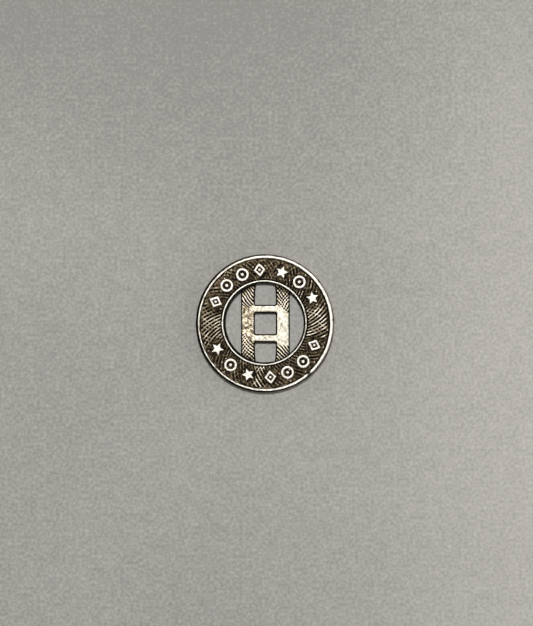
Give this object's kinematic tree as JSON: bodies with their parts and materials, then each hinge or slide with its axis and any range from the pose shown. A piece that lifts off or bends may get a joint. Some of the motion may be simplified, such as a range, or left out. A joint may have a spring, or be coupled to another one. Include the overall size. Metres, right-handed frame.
{
  "type": "transit token",
  "caption": "Round pierced white-metal fare token: two raised rims, sunken cross-hatched band with raised ornaments, ladder-shaped bars in the centre hole.",
  "frame": {"origin": "centre of the reverse face's rim plane, where the token lies on a table", "axes": "+Z out of the obverse face, through the token's thickness; +Y towards the top of the design, along the uprights; +X to the right"},
  "size_m": [0.0164, 0.0164, 0.0014],
  "materials": {
    "rim_metal": "satin",
    "band_patina": "matte",
    "bar_metal": "satin",
    "relief_metal": "satin"
  },
  "bodies": {
    "root": {"outer_rim": "rim_metal", "field_band": "band_patina", "inner_rim": "rim_metal", "left_upright": "bar_metal", "right_upright": "bar_metal", "upper_rung": "bar_metal", "lower_rung": "bar_metal", "obverse_ornaments": "relief_metal", "reverse_ornaments": "relief_metal"}
  },
  "joints": []
}
